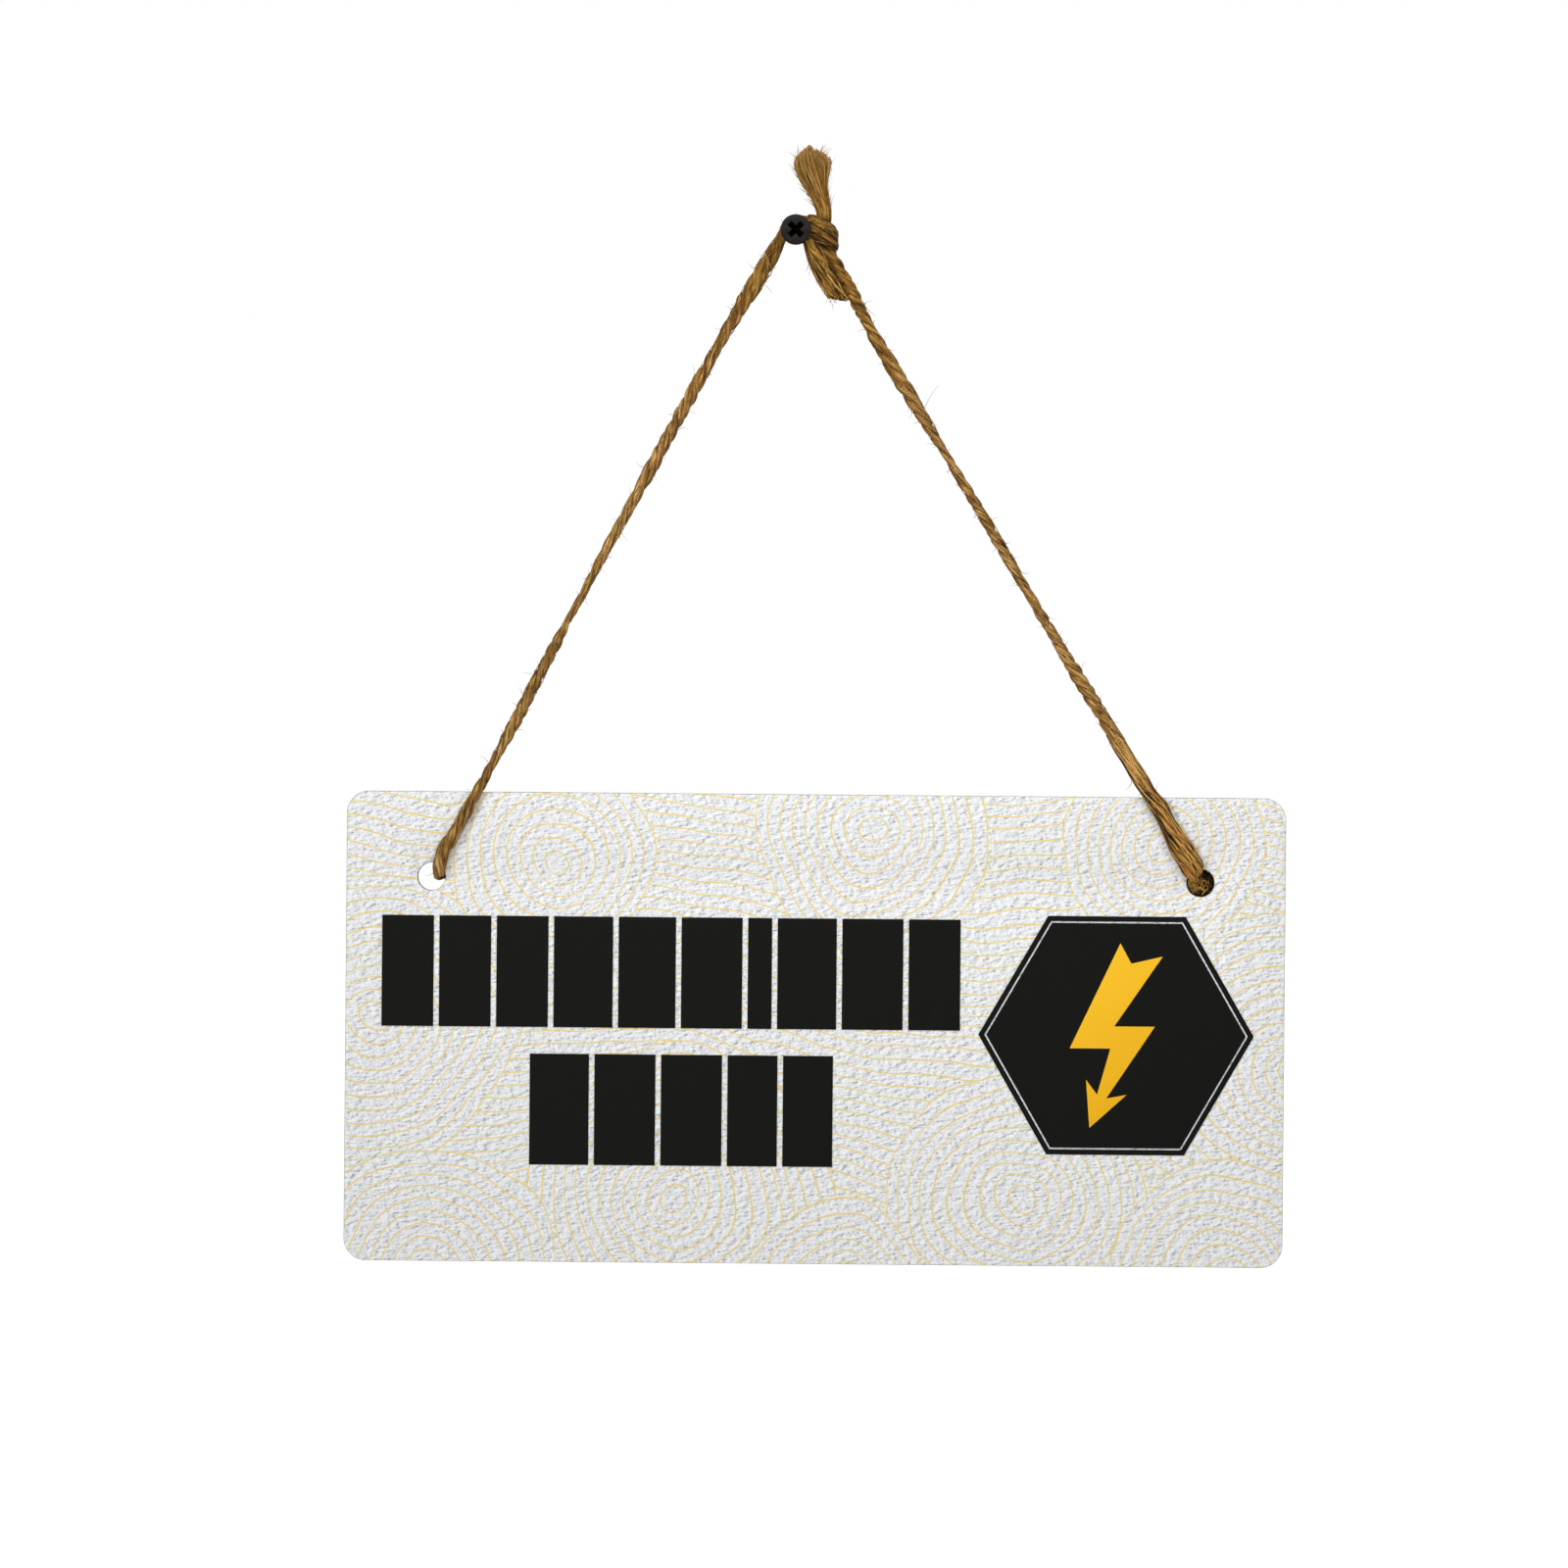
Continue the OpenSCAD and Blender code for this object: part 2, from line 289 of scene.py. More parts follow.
def make_mesh(name, points, faces, **kept):
    """A mesh object from lists of points in millimetres, with values kept on its points."""
    mesh = bpy.data.meshes.new(name)
    mesh.from_pydata((np.concatenate(points) * MM).tolist(), [], faces)
    for label, values in kept.items():
        values = np.concatenate(values).astype(np.float32)
        kind, field = ("FLOAT", "value") if values.ndim == 1 else ("FLOAT_VECTOR", "vector")
        mesh.attributes.new(label, kind, "POINT").data.foreach_set(field, values.ravel())
    mesh.shade_smooth()
    made = bpy.data.objects.new(name, mesh)
    bpy.context.scene.collection.objects.link(made)
    print(f"{name}: {len(faces)} faces")
    return made


def tube_faces(rings, sides, first=0):
    """Faces of a closed tube whose points are numbered ring by ring."""
    i, k = np.meshgrid(np.arange(rings - 1), np.arange(sides), indexing="ij")
    a, b = first + i * sides + k, first + i * sides + (k + 1) % sides
    quads = np.stack([a, b, b + sides, a + sides], -1).reshape(-1, 4).tolist()
    last = first + (rings - 1) * sides
    return quads + [list(range(first + sides - 1, first - 1, -1)), list(range(last, last + sides))]


def streak_places(across, run):
    """How far each point of some rings lies across and along its fibres, for the jute's streaks."""
    across = np.broadcast_to(across, (len(run), len(across)))
    run = np.broadcast_to(run[:, None], across.shape)
    return np.stack([across, run, 0 * across], -1).reshape(-1, 3)


def outward(i, angle):
    """Directions at angles round the twine, less deep where the twine lies flat."""
    out = np.cos(angle)[..., None] * SIDE[i] + np.sin(angle)[..., None] * UP[i]
    out[..., 1] *= FLAT[i]
    return out


lay = LAY * np.clip(1 + 1.6 * loose + 0.2 * wavy(40), 0.7, 4)
spiral = -ROUND * np.cumsum(RING_PITCH / lay)
every = np.arange(len(LINE))
points, faces, fibre, shade, lift, plies = [], [], [], [], [], []
for ply in range(PLIES):
    phase = spiral + ROUND * ply / PLIES + 0.22 * wavy(14)
    # Where the plies sink into each other, the grooves between them are shallow
    sunk = np.maximum(np.clip(0.78 + 0.25 * wavy(12), 0.3, 1), loose)
    off = PLY_OFFSET * (1 - 0.34 * sunk)
    round_off = (PLY_REACH - off) * (1 + 0.06 * wavy(8))
    radius = round_off * THICK
    middle = LINE + (off * THICK)[:, None] * outward(every, phase)
    plies.append((middle, radius, phase))
    angles = ROUND * np.arange(PLY_SIDES)[None] / PLY_SIDES + FIBRE_TURN * phase[:, None]
    ridge = np.stack([wavy(5) for k in range(PLY_SIDES)], 1)
    in_and_out = np.arange(PLY_SIDES) % 2 * 2 - 1
    reach = radius[:, None] * (1 + 0.035 * ridge + (0.04 + 0.07 * loose)[:, None] * in_and_out[None])
    ring = middle[:, None] + reach[..., None] * outward(every[:, None], angles)
    faces += tube_faces(len(LINE), PLY_SIDES, ply * len(LINE) * PLY_SIDES)
    points.append(ring.reshape(-1, 3))
    fibre.append(streak_places(np.arange(PLY_SIDES) * 0.34 + 9 * ply, ALONG))
    shade.append(np.clip(0.5 + 0.24 * ridge, 0, 1).ravel())
    from_middle = np.hypot(
        off[:, None] + round_off[:, None] * np.cos(angles - phase[:, None]),
        round_off[:, None] * np.sin(angles - phase[:, None]),
    )
    lift.append((from_middle / (TWINE_D / 2)).ravel())

points = [press(np.concatenate(points))]
twine = make_mesh("plied_twine", points, faces, fibre=fibre, shade=shade, lift=lift)

# %% [markdown]
# ## Loose fibres
#
# What makes jute look like jute is its hair. Each fibre is a thin tapered tube with three
# sides along its own little curve. The same function makes the hair on the twine, the fibres
# that lie on its surface, and the open bundles at both ends, which have five sides.

# %% A function that makes a bundle of fibres
def bundle(name, lines, radii, shades, sides=3, tip=0.3, pale=0.0):
    """Many thin tapered tubes as one object, each painted paler at its tip, a painted highlight. Lines
    are in millimetres.
    """
    points, faces, fibre, shade, lift = [], [], [], [], []
    count = 0
    for j, (line, radius, tone) in enumerate(zip(lines, radii, shades)):
        line = np.array(line, float)
        _, side, up = frames_along(line, unit(rng.normal(size=3)))
        run = length_along(line)
        width = radius * (1 - (1 - tip) * rise(run / run[-1], 0.45, 1))
        angle = ROUND * np.arange(sides) / sides
        ring = line[:, None] + width[:, None, None] * (
            np.cos(angle)[None, :, None] * side[:, None] + np.sin(angle)[None, :, None] * up[:, None]
        )
        faces += tube_faces(len(line), sides, count)
        count += ring.shape[0] * sides
        points.append(ring.reshape(-1, 3))
        fibre.append(streak_places(np.arange(sides) * 0.3 + 3 * j, run))
        # The pale share lightens the tip: a painted highlight
        shade.append(np.repeat(tone + pale * rise(run / run[-1], 0.55, 1), sides))
        lift.append(np.ones(ring.shape[0] * sides))
    return make_mesh(name, points, faces, fibre=fibre, shade=shade, lift=lift)


def clear_of_board(line, gap=0.1):
    """True where no point of a fibre is inside the board or close to y = 0."""
    p = np.array(line)
    low = p[:, 2] < BOARD_TOP + gap
    inside = low & (p[:, 1] > BOARD_FACE - gap) & (p[:, 1] < BOARD_BACK + gap)
    return not inside.any() and p[:, 1].max() < -gap


# %% Hair that stands off the twine
HAIRS = 1100
HAIR_R = 0.07
lines, radii = [], []
first_ring, last_ring = 30, len(LINE) - 20
for j in range(HAIRS):
    i = rng.integers(first_ring, last_ring)
    angle = rng.uniform(0, ROUND)
    out = outward(i, np.array(angle))
    across = np.cross(AHEAD[i], out)
    way = 1 if rng.random() < 0.5 else -1
    length = min(7.5, 0.8 + rng.exponential(1.3))
    lean, swing, droop = rng.uniform(0.25, 0.9), rng.normal() * 0.5, rng.normal() * 0.16
    start = LINE[i] + out * (TWINE_D / 2 * THICK[i] * 0.86)
    line = []
    for t in np.linspace(0, 1, 6):
        grow = way * AHEAD[i] * (1.2 - lean * t) + out * lean * (0.35 + 0.4 * t) + across * swing * t
        line.append(start + length * t * grow + np.array([0, 0, -droop * length * t * t]))
    if clear_of_board(line):
        lines.append(line)
        radii.append(HAIR_R * rng.uniform(0.7, 1.3))
hair = bundle("twine_hair", lines, radii, shades=rng.uniform(0.0, 0.9, len(lines)))

# %% Fibres that lie on the plies
PLY_FIBRES = 800
PLY_FIBRE_R = 0.14
lines, radii = [], []
for j in range(PLY_FIBRES):
    middle, radius, phase = plies[rng.integers(PLIES)]
    i = rng.integers(first_ring, last_ring - 30)
    picks = np.arange(i, i + rng.integers(12, 30), 2)
    # It leans a little across its ply, from one groove towards the other
    across = np.linspace(-1.15, 1.15, len(picks)) + rng.normal() * 0.25
    bow = 1.0 + 0.05 * np.sin(np.linspace(0, math.pi, len(picks))) * rng.uniform(0.5, 1.3)
    reach = (radius[picks] * bow)[:, None]
    lines.append(press(middle[picks] + reach * outward(picks, phase[picks] + across)))
    radii.append(PLY_FIBRE_R * rng.uniform(0.6, 1.4))
ply_fibres = bundle("ply_fibres", lines, radii, shades=rng.uniform(0.15, 0.9, len(lines)))

# %% Stray fibres that cross the plies
STRAYS = 620
STRAY_R = 0.12
loose_rings = np.flatnonzero(loose > 0.6)
lines, radii, shades = [], [], []
for j in range(STRAYS):
    kind = rng.random()
    if kind < 0.5:
        # Long and straight on the loose strand above the right hole
        i, steps, drift = rng.choice(loose_rings), rng.integers(22, 52), rng.normal() * 0.04 - 0.06
    elif kind < 0.66:
        # Round the knot
        i, steps, drift = rng.integers(30, 150), rng.integers(14, 34), rng.normal() * 0.3
    else:
        # Everywhere, leaning as the plies do
        i, steps = rng.integers(first_ring, last_ring - 60), rng.integers(14, 34)
        drift = rng.normal() * 0.09 - 0.3
    picks = np.arange(i, min(i + steps, last_ring), 2)
    if len(picks) < 4:
        continue
    angle = rng.uniform(0, ROUND) + drift * (ALONG[picks] - ALONG[i])
    bow = 0.94 + np.sin(np.linspace(0, math.pi, len(picks))) * rng.uniform(0.02, 0.1)
    reach = TWINE_D / 2 * THICK[picks] * bow * (1.14 if kind < 0.5 else 1.06)
    lines.append(press(LINE[picks] + reach[:, None] * outward(picks, angle)))
    radii.append(STRAY_R * rng.uniform(0.6, 1.4) * (1.9 if kind < 0.5 else 1.0))
    # On the loose strand light bundles lie next to very dark ones, painted shade for the gaps between
    # them
    shades.append(rng.choice([-0.8, 0.2, 1.0, 1.4]) if kind < 0.5 else rng.uniform(-0.3, 1.25))
strays = bundle("stray_fibres", lines, radii, shades=shades)

# %% Fibres round the knot's turns
WRAP_FIBRES = 300
TURN_R = TWINE_D / 2 * KNOT_THICK
lines, radii = [], []
for j in range(WRAP_FIBRES):
    sweep = rng.uniform(0, ROUND) + np.linspace(0, rng.uniform(1.0, 3.2), 13)
    height = rng.uniform(KNOT_FOOT - 1.5, KNOT_TOP + 1.3)
    height = height + (rng.normal() * 0.75 - 0.35) * (sweep - sweep.mean())
    height = np.clip(height, KNOT_FOOT - 1.7, KNOT_TOP + 1.5)
    # The turns round off towards the foot and the top
    beyond = np.abs(2 * height - KNOT_TOP - KNOT_FOOT) / (KNOT_TOP - KNOT_FOOT + 4)
    beyond = np.clip(beyond, 0, 0.95) ** 1.5
    bulge = 0.25 * np.sin(np.linspace(0, math.pi, 13)) * rng.uniform(-0.3, 1.3)
    reach = KNOT_R - 0.35 + (TURN_R + 0.35) * np.sqrt(1 - beyond**2) + bulge
    across, deep = reach * np.cos(sweep), reach * np.sin(sweep)
    height = height + leaning(across, deep)
    lines.append(np.stack([KNOT_AXIS[0] + across, KNOT_AXIS[1] + deep, height], 1))
    radii.append(rng.uniform(0.12, 0.28))
# Shades below 0 come out near black: painted shade for the gaps between the turns' fibres
shades = rng.uniform(-0.75, 1.3, len(lines))
wrap_fibres = bundle("wrap_fibres", lines, radii, tip=0.5, shades=shades)

# %% [markdown]
# ## The two open ends
#
# Above its winding the twine is frayed like a brush. It is narrow at the knot and 11 mm wide near
# the top, where two tufts close round a notch. The other end was cut straight across. Both are
# filled with bundles of fibres that follow a few sections, each bundle with its own length.

# %% Frayed end and cut end
# Each section is a middle and two half widths, across and deep
FRAYED_END = [
    [[7.6, -5, 2.6], [2.0, 1.7]], [[7.5, -5, 5.7], [2.15, 1.8]], [[6.4, -5, 9.5], [2.5, 1.9]],
    [[5.4, -5.1, 12.5], [3.2, 2.0]], [[4.8, -5.2, 15.2], [4.5, 2.2]], [[4.3, -5.4, 18.2], [5.5, 2.3]],
    [[3.9, -5.6, 20.6], [4.9, 2.2]], [[3.8, -5.7, 22.2], [3.7, 2.0]], [[3.7, -5.8, 23.5], [2.8, 1.8]],
]
CUT_END = [
    [[3.9, -6.2, -2.6], [2.2, 1.5]], [[5.5, -7.2, -7.2], [2.5, 1.7]], [[7.5, -7.7, -11], [2.85, 1.9]],
    [[9.8, -7.6, -15], [2.65, 1.9]], [[12.8, -7.5, -19.8], [2.1, 1.8]],
]
# Share of the full length that a bundle reaches, by its place across the end
FRAYED_TOP = [
    (-1, 0.84), (-0.5, 0.95), (-0.1, 1.0), (0.12, 0.98), (0.25, 0.9), (0.4, 0.95), (0.7, 0.91), (1, 0.8),
]
CUT_TIP = [(-1, 0.84), (1, 1.0)]


def open_end(name, sections, count, radius, twist, tips, ragged, wander, tones, tip, pale):
    """Bundles through a list of sections, each from its own place in the section."""
    middles = [s[0] for s in sections]
    halves = np.array([s[1] for s in sections])
    line, run = smooth_line(middles, 0.3)
    nodes = [run[np.argmin(np.linalg.norm(line - np.array(m), axis=1))] for m in middles]
    _, side, up = frames_along(line, (1, 0, 0))
    lines, radii = [], []
    for j in range(count):
        away, angle = math.sqrt(rng.random()), rng.uniform(0, ROUND)
        ends = (np.interp(away * math.cos(angle), *zip(*tips)) - ragged * abs(rng.normal())) * run[-1]
        places = np.linspace(0, ends, 13)
        base, n, b = [read_off(places, run, values) for values in (line, side, up)]
        wide, deep = read_off(places, nodes, halves).T - radius
        share = places / run[-1]
        turned = angle + twist * (share - 1)
        shake = np.stack([wavy(5, count=13, step=1) for k in range(2)], 1)
        shake = wander * shake * (0.25 + share)[:, None]
        lines.append(
            base + (away * np.cos(turned) * wide + shake[:, 0])[:, None] * n
            + (away * np.sin(turned) * deep + shake[:, 1])[:, None] * b
        )
        radii.append(radius * rng.uniform(0.6, 1.25))
    return bundle(name, lines, radii, sides=5, tip=tip, shades=rng.uniform(*tones, count), pale=pale)


# Pale makes each bundle paler towards its tip, a painted highlight, strongest on the frayed end
frayed = open_end(
    "frayed_end", FRAYED_END, count=580, radius=0.22, twist=-0.7, tips=FRAYED_TOP, ragged=0.03,
    wander=0.13, tones=(-0.05, 1.05), tip=0.25, pale=0.42,
)
# Its darkest bundles, near black, are painted shade for the gaps between the fibres
cut = open_end(
    "cut_end", CUT_END, count=210, radius=0.32, twist=-1.3, tips=CUT_TIP, ragged=0.02,
    wander=0.22, tones=(-0.9, 1.4), tip=0.8, pale=0.15,
)

# %% Fine hair at both ends
HIGHEST_HAIR = 24.5
lines, radii = [], []
for sections, count, spread in ((FRAYED_END, 110, 0.3), (CUT_END, 90, 0.22)):
    line, run = smooth_line([s[0] for s in sections], 0.3)
    ahead, side, up = frames_along(line, (1, 0, 0))
    halves = np.array([s[1] for s in sections])
    for j in range(count):
        i = int(rng.uniform(0.15, 0.9) * (len(line) - 1))
        wide, deep = read_off([run[i] / run[-1]], np.linspace(0, 1, len(sections)), halves)[0]
        angle = rng.uniform(0, ROUND)
        out = math.cos(angle) * side[i] + math.sin(angle) * up[i]
        start = line[i] + 0.9 * (math.cos(angle) * wide * side[i] + math.sin(angle) * deep * up[i])
        length = rng.uniform(1.0, 3.2)
        bend = rng.normal(size=3) * 0.25
        lines.append([
            start + length * t * (ahead[i] + spread * out * (0.4 + t)) + length * t * t * bend
            for t in np.linspace(0, 1, 6)
        ])
        radii.append(HAIR_R * rng.uniform(0.7, 1.3))
lines = [line for line in lines if np.array(line)[:, 2].max() < HIGHEST_HAIR and clear_of_board(line)]
radii = radii[:len(lines)]
end_hair = bundle("end_hair", lines, radii, shades=rng.uniform(0.4, 1.0, len(lines)))

# %% The tangle in the right hole
TANGLE, LOOPS, CURLS = 240, 16, 26
LOOP = np.array([[0, 0], [-0.5, -1.3], [-0.5, -2.7], [0.5, -3.4], [1.7, -2.6], [2.6, -1.6]])


def spoke(angle):
    """A step of length 1 in the plane of the face."""
    return np.array([math.cos(angle), math.sin(angle)])


# Each has its line, its radius and its shade
found = []
# The deep fibres get near-black shades: painted shade for the dark inside of the hole
for j in range(TANGLE):
    p, q = [HOLES[1] + (HOLE_R - 0.05) * spoke(angle) for angle in rng.uniform(0, ROUND, 2)]
    m, depth = HOLES[1] + rng.normal(size=2) * 1.3, rng.uniform(-6.0, -3.4)
    t = np.linspace(0, 1, 10)[:, None]
    xz = (1 - t) ** 2 * p + 2 * t * (1 - t) * m + t * t * q
    line = np.stack([xz[:, 0], depth - 0.5 * np.sin(math.pi * t[:, 0]), xz[:, 1]], 1)
    found.append((line, rng.uniform(0.1, 0.2), rng.uniform(-1.1, -0.4)))
for j in range(CURLS):
    # Thin open curls in front of them, thickest at the hole's lower left
    angle, away, curl = rng.uniform(0, ROUND), 2.7 * math.sqrt(rng.random()), rng.uniform(0.7, 1.6)
    centre = HOLES[1] + 0.9 * away * spoke(angle) + (-0.4, -0.3)
    sweep = rng.uniform(0, ROUND) + np.linspace(0, rng.uniform(2, 5), 14)
    ring = centre + curl * np.stack([np.cos(sweep), 0.8 * np.sin(sweep)], 1)
    ring = ring[np.hypot(*(ring - HOLES[1]).T) < HOLE_R - 0.2]
    depth = np.linspace(-6.6, rng.uniform(-6.9, -5.6), len(ring))
    line = np.stack([ring[:, 0], depth, ring[:, 1]], 1)
    found.append((line, rng.uniform(0.08, 0.13), rng.uniform(0.8, 1.4)))
for j in range(LOOPS):
    # From the blunt end of the strand down along the hole's left side, and back in a small loop
    start, size = np.array([109.4, -174.6]) + rng.normal(size=2) * (0.8, 0.3), rng.uniform(0.7, 1.0)
    bends = start + size * LOOP + rng.normal(size=LOOP.shape) * 0.25
    line, _ = smooth_line([[x, -6.9 + 0.3 * k, z] for k, (x, z) in enumerate(bends)], 0.4)
    keep = np.hypot(*(line[:, [0, 2]] - HOLES[1]).T) < HOLE_R - 0.25
    if keep.sum() > 5:
        line = line[:len(keep) if keep.all() else np.argmin(keep)][:26]
        found.append((line, rng.uniform(0.12, 0.2), rng.uniform(0.6, 1.2)))
lines, radii, shades = zip(*[one for one in found if len(one[0]) > 3])
tangle = bundle("hole_fibres", lines, radii, tip=0.7, shades=shades)

jute_pieces = (twine, hair, ply_fibres, strays, wrap_fibres, frayed, cut, end_hair, tangle)
for piece in jute_pieces:
    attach(piece, "root")
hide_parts("hanging_twine", "twine_knot")

# %% [markdown]
# ## Helpers for modelling by hand
#
# An operator acts on everything that is selected, and the loaded nodes arrive selected. So each
# piece starts from a clean selection. A line is drawn as one would by hand: a single point is
# extruded from place to place.

# %% Modelling helpers
def clean():
    """Nothing selected, object mode."""
    if bpy.context.mode != "OBJECT":
        bpy.ops.object.mode_set(mode="OBJECT")
    bpy.ops.object.select_all(action="DESELECT")


def only(piece):
    """Object mode, with this piece alone selected and active."""
    clean()
    piece.select_set(True)
    bpy.context.view_layer.objects.active = piece


def pick(piece, wanted, kind="VERT"):
    """Edit mode with only the wanted points or edges selected, by a test on each."""
    only(piece)
    bpy.ops.object.mode_set(mode="EDIT")
    bpy.ops.mesh.select_mode(type=kind)
    bpy.ops.mesh.select_all(action="DESELECT")
    bpy.ops.object.mode_set(mode="OBJECT")
    for item in piece.data.vertices if kind == "VERT" else piece.data.edges:
        item.select = bool(wanted(item))
    bpy.ops.object.mode_set(mode="EDIT")


def draw_line(name, outline):
    """A new object with edges through places (from the Y axis, along it) in mm, selected to edit."""
    places = [Vector((r * MM, y * MM, 0)) for r, y in outline]
    clean()
    bpy.ops.mesh.primitive_plane_add(size=MM, location=(0, 0, 0))
    made = bpy.context.object
    made.name = made.data.name = name
    bpy.ops.object.mode_set(mode="EDIT")
    bpy.ops.mesh.select_mode(type="VERT")
    bpy.ops.mesh.select_all(action="SELECT")
    bpy.ops.mesh.merge(type="CENTER")
    bpy.ops.transform.translate(value=places[0])
    for a, b in zip(places, places[1:]):
        bpy.ops.mesh.extrude_region_move(TRANSFORM_OT_translate={"value": b - a})
    bpy.ops.mesh.select_all(action="SELECT")
    return made


def apply_modifier(piece, kind, **settings):
    """Adds a modifier and applies it."""
    only(piece)
    modifier = piece.modifiers.new(kind.lower(), kind)
    for name, value in settings.items():
        setattr(modifier, name, value)
    bpy.ops.object.modifier_apply(modifier=modifier.name)


def settle(piece, merge=0.002):
    """Puts a piece's place into its mesh, merges doubles (within so many mm) and turns faces out."""
    only(piece)
    bpy.ops.object.transform_apply(location=True, rotation=True, scale=True)
    bpy.ops.object.mode_set(mode="EDIT")
    bpy.ops.mesh.select_all(action="SELECT")
    bpy.ops.mesh.remove_doubles(threshold=merge * MM)
    bpy.ops.mesh.normals_make_consistent(inside=False)
    clean()


def carve(piece, cutter):
    """Cuts the shape of another object out of a piece."""
    apply_modifier(piece, "BOOLEAN", object=cutter, operation="DIFFERENCE", solver="EXACT")
    bpy.data.objects.remove(cutter)


def ease(piece, width, segments, angle):
    """Rounds the edges that are sharper than an angle in degrees, by a width in mm."""
    limit = math.radians(angle)
    apply_modifier(
        piece, "BEVEL", width=width * MM, segments=segments, limit_method="ANGLE", angle_limit=limit,
    )
    settle(piece)


# %% [markdown]
# ## The board
#
# The real board is cut from 4 mm fibreboard by a laser. It could be one extruded outline, but its
# edges are eased a little, and that thin bright line is what the eye reads as thickness. So a
# block gets round corners from a bevel, two holes from a boolean, and a second, very small bevel.

# %% Model the board
board_low, board_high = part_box("sign_board")
board_mid = (board_low + board_high) / 2
CORNER_R = 6 * MM
EASE = 0.3

clean()
bpy.ops.mesh.primitive_cube_add(size=1, location=board_mid, scale=board_high - board_low)
board = bpy.context.object
board.name = board.data.name = "board"
settle(board)
corners = board.data.vertices
# The four edges that run from the face to the back
pick(board, lambda e: abs(corners[e.vertices[0]].co.y - corners[e.vertices[1]].co.y) > MM, "EDGE")
bpy.ops.mesh.bevel(offset=CORNER_R, segments=14)
for x, z in HOLES:
    clean()
    bpy.ops.mesh.primitive_cylinder_add(
        vertices=64, radius=HOLE_R * MM, depth=20 * MM,
        location=(x * MM, board_mid.y, z * MM), rotation=(math.pi / 2, 0, 0),
    )
    drill = bpy.context.object
    settle(drill)
    carve(board, drill)
ease(board, EASE, segments=3, angle=60)
only(board)
bpy.ops.object.shade_smooth_by_angle(angle=math.radians(35))
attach(board, "root")
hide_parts("sign_board")
print(f"board: {len(board.data.polygons)} faces, {[round(v / MM, 2) for v in board.dimensions]} mm")

# %% [markdown]
# ## The screw
#
# A drywall screw has a bugle head, a smooth neck and a sharp coarse thread. Head, neck and core
# are turned: a half outline is drawn and spun round the axis. The cross recess is cut by two
# tapered bars. The thread is a small wedge wound along the core, which fades out at the point.

# %% Turn the head, neck and core
HEAD_R, HEAD_H, HEAD_RIM, NECK_R = 4.15, 5.0, 0.6, 1.5
HEAD_Y, TIP_Y, CORE_R, POINT_L = -13.0, 19.0, 1.25, 7.0
flank_h = HEAD_H - HEAD_RIM
flank_r = ((HEAD_R - NECK_R) ** 2 + flank_h**2) / (2 * (HEAD_R - NECK_R))
sweep = math.asin(flank_h / flank_r)
outline = [[0, HEAD_Y], [HEAD_R - 0.25, HEAD_Y], [HEAD_R - 0.07, HEAD_Y + 0.08], [HEAD_R, HEAD_Y + 0.25]]
for t in np.linspace(0, 1, 9):
    # The bugle's flank is an arc that ends along the neck
    a = sweep * (1 - t)
    outline.append([NECK_R + flank_r - flank_r * math.cos(a), HEAD_Y + HEAD_H - flank_r * math.sin(a)])
outline += [
    [NECK_R, -1.5], [NECK_R - 0.03, -1.1], [CORE_R, -0.4],
    [CORE_R, TIP_Y - POINT_L], [CORE_R * 0.55, TIP_Y - POINT_L * 0.45], [0, TIP_Y],
]
screw = draw_line("screw", outline)
bpy.ops.mesh.spin(steps=56, angle=ROUND, center=(0, 0, 0), axis=(0, 1, 0))
settle(screw, merge=0.004)

# %% Cut the cross recess
RECESS_SPAN, RECESS_W, RECESS_H = 5.6, 1.6, 2.8
for tilt in (45, 135):
    clean()
    bpy.ops.mesh.primitive_cube_add(
        size=1, location=(0, (HEAD_Y + RECESS_H / 2 - 0.5) * MM, 0),
        scale=(RECESS_SPAN * MM, (RECESS_H + 1) * MM, RECESS_W * MM),
    )
    bar = bpy.context.object
    settle(bar)
    pick(bar, lambda v: v.co.y > (HEAD_Y + 1) * MM)
    bpy.ops.transform.resize(value=(0.5, 1, 0.8), center_override=(0, 0, 0))
    bpy.ops.mesh.select_all(action="SELECT")
    bpy.ops.transform.rotate(value=math.radians(tilt), orient_axis="Y", center_override=(0, 0, 0))
    carve(screw, bar)
ease(screw, 0.07, segments=2, angle=50)

# %% Wind the thread
THREAD_R, PITCH, TURNS = 1.75, 2.4, 7.6
THREAD_FROM = -0.2
WEDGE = ((CORE_R - 0.12, -0.42), (THREAD_R, -0.03), (THREAD_R, 0.05), (CORE_R - 0.12, 0.46))
thread = draw_line("thread", [(r, THREAD_FROM + y) for r, y in WEDGE])
# A face closes the wedge's outline, and leaves only its edges to wind
bpy.ops.mesh.edge_face_add()
bpy.ops.mesh.delete(type="ONLY_FACE")
clean()
steps = int(28 * TURNS)
apply_modifier(
    thread, "SCREW", angle=ROUND * TURNS, screw_offset=PITCH * TURNS * MM, axis="Y",
    steps=steps, render_steps=steps,
)
for v in thread.data.vertices:
    # The crest fades in at the neck and follows the core's taper to the point
    core = CORE_R * min(1, max(0, (TIP_Y - v.co.y / MM) / POINT_L)) ** 0.8
    fade = min(1, max(0, (v.co.y / MM - THREAD_FROM + 0.4) / PITCH))
    fade *= min(1, max(0, (TIP_Y - 0.6 - v.co.y / MM) / (POINT_L * 0.9)))
    radius = math.hypot(v.co.x, v.co.z)
    crest = (radius / MM - CORE_R) * fade
    scale = max(0.02, core + crest) * MM / radius
    v.co.x *= scale
    v.co.z *= scale
pick(thread, lambda e: True, "EDGE")
bpy.ops.mesh.fill_holes(sides=len(WEDGE))
bpy.ops.mesh.normals_make_consistent(inside=False)
only(screw)
thread.select_set(True)
bpy.ops.object.join()
only(screw)
bpy.ops.object.shade_smooth_by_angle(angle=math.radians(40))
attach(screw, "root")
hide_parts("wall_screw")
